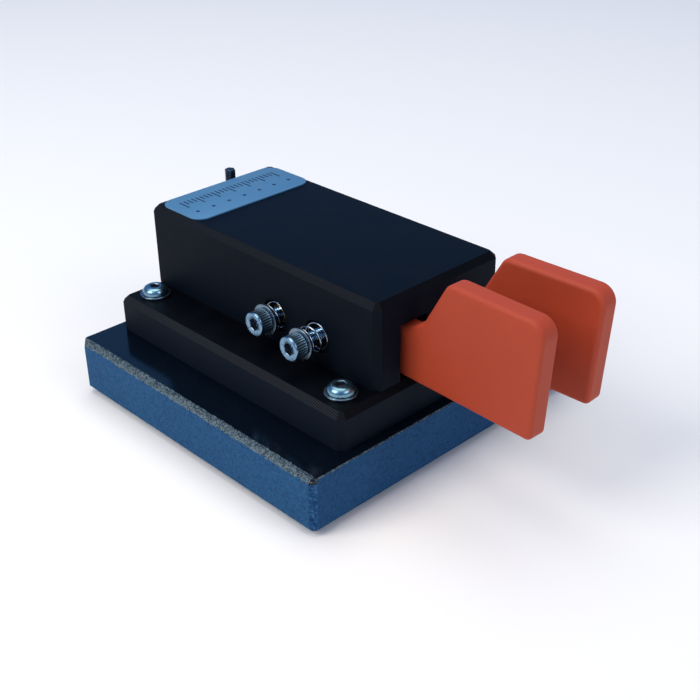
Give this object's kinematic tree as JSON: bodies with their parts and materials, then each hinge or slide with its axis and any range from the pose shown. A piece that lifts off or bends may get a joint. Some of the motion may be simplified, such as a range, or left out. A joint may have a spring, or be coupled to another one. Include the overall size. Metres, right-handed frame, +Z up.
{
  "type": "morse key",
  "caption": "Twin-lever Morse key: a covered mechanism on a stone base, with two sprung finger pieces and side adjusters",
  "frame": {"origin": "centre of the stone slab's underside, which is the flat face the feet are stuck to", "axes": "+Z up, +Y from the finger pieces towards the rear, +X to the right as seen from the front"},
  "size_m": [0.1016, 0.1425, 0.0609],
  "materials": {
    "black_granite": "polished",
    "rubber": "matte",
    "brass": "satin",
    "black_print": "satin",
    "stainless": "polished",
    "silver_label": "satin",
    "black_moulding": "satin",
    "nickel": "satin",
    "wire_insulation": "satin",
    "black_oxide": "satin",
    "orange_print": "satin",
    "bearing_steel": "satin",
    "spring_steel": "polished"
  },
  "bodies": {
    "base": {"granite_slab": "black_granite", "rubber_feet": "rubber", "slab_inserts": "brass", "base_plate": "black_print", "base_screws": "stainless", "base_washers": "stainless", "top_cover": "black_print", "label_plate": "silver_label", "cover_screws": "stainless", "cover_inserts": "brass", "contact_post": "brass", "contact_post_screw": "stainless", "post_terminal": "brass", "pivot_terminals": "brass", "jack_body": "black_moulding", "jack_nut": "nickel", "jack_wires": "wire_insulation", "left_pivot_pin": "bearing_steel", "left_rest_insert": "brass", "left_tension_spring": "spring_steel", "left_rest_spring": "spring_steel", "right_pivot_pin": "bearing_steel", "right_rest_insert": "brass", "right_tension_spring": "spring_steel", "right_rest_spring": "spring_steel"},
    "left_lever": {"left_lever": "orange_print", "left_bearings": "bearing_steel", "left_lever_insert": "brass", "left_contact": "brass", "left_contact_strip": "brass"},
    "left_tension_washer": {"left_tension_washer": "stainless"},
    "left_tension_screw": {"left_tension_screw": "stainless"},
    "left_rest_washer": {"left_rest_washer": "stainless"},
    "left_rest_screw": {"left_rest_screw": "stainless"},
    "right_lever": {"right_lever": "orange_print", "right_bearings": "bearing_steel", "right_lever_insert": "brass", "right_contact": "brass", "right_contact_strip": "brass"},
    "right_tension_washer": {"right_tension_washer": "stainless"},
    "right_tension_screw": {"right_tension_screw": "stainless"},
    "right_rest_washer": {"right_rest_washer": "stainless"},
    "right_rest_screw": {"right_rest_screw": "stainless"},
    "hex_key": {"hex_key": "black_oxide"}
  },
  "joints": [
    {"name": "left_lever_hinge", "type": "hinge", "parent": "base", "child": "left_lever", "pos_m": [-0.01, 0.004, 0.0346], "axis": [0, 0, 1], "range_deg": [0, 0.9], "stiffness_Nm_per_rad": 0.75, "springref_deg": -2.29, "deforming": ["left_tension_spring"]},
    {"name": "left_tension_travel", "type": "slide", "parent": "left_lever", "child": "left_tension_washer", "axis": [1, 0, 0], "range_m": [-0.0014, 0.0028], "deforming": ["left_tension_spring"]},
    {"name": "left_tension_turn", "type": "hinge", "parent": "left_tension_washer", "child": "left_tension_screw", "pos_m": [-0.0294, -0.0233, 0.0346], "axis": [1, 0, 0], "range_deg": [-720, 1440]},
    {"name": "left_rest_travel", "type": "slide", "parent": "base", "child": "left_rest_washer", "axis": [1, 0, 0], "range_m": [-0.0014, 0], "deforming": ["left_rest_spring"]},
    {"name": "left_rest_turn", "type": "hinge", "parent": "left_rest_washer", "child": "left_rest_screw", "pos_m": [-0.027, -0.0066, 0.0346], "axis": [1, 0, 0], "range_deg": [-720, 0]},
    {"name": "right_lever_hinge", "type": "hinge", "parent": "base", "child": "right_lever", "pos_m": [0.01, 0.004, 0.0346], "axis": [0, 0, -1], "range_deg": [0, 0.9], "stiffness_Nm_per_rad": 0.75, "springref_deg": -2.29, "deforming": ["right_tension_spring"]},
    {"name": "right_tension_travel", "type": "slide", "parent": "right_lever", "child": "right_tension_washer", "axis": [-1, 0, 0], "range_m": [-0.0014, 0.0028], "deforming": ["right_tension_spring"]},
    {"name": "right_tension_turn", "type": "hinge", "parent": "right_tension_washer", "child": "right_tension_screw", "pos_m": [0.0294, -0.0233, 0.0346], "axis": [-1, 0, 0], "range_deg": [-720, 1440]},
    {"name": "right_rest_travel", "type": "slide", "parent": "base", "child": "right_rest_washer", "axis": [-1, 0, 0], "range_m": [-0.0014, 0], "deforming": ["right_rest_spring"]},
    {"name": "right_rest_turn", "type": "hinge", "parent": "right_rest_washer", "child": "right_rest_screw", "pos_m": [0.027, -0.0066, 0.0346], "axis": [-1, 0, 0], "range_deg": [-720, 0]},
    {"name": "hex_key_slide", "type": "slide", "parent": "base", "child": "hex_key", "axis": [0, 1, 0], "range_m": [0, 0.038]}
  ],
  "couplings": [
    {"joint": "left_tension_turn", "follows": "left_tension_travel", "rad_per_m": 8976},
    {"joint": "left_rest_turn", "follows": "left_rest_travel", "rad_per_m": 8976},
    {"joint": "right_tension_turn", "follows": "right_tension_travel", "rad_per_m": 8976},
    {"joint": "right_rest_turn", "follows": "right_rest_travel", "rad_per_m": 8976}
  ]
}
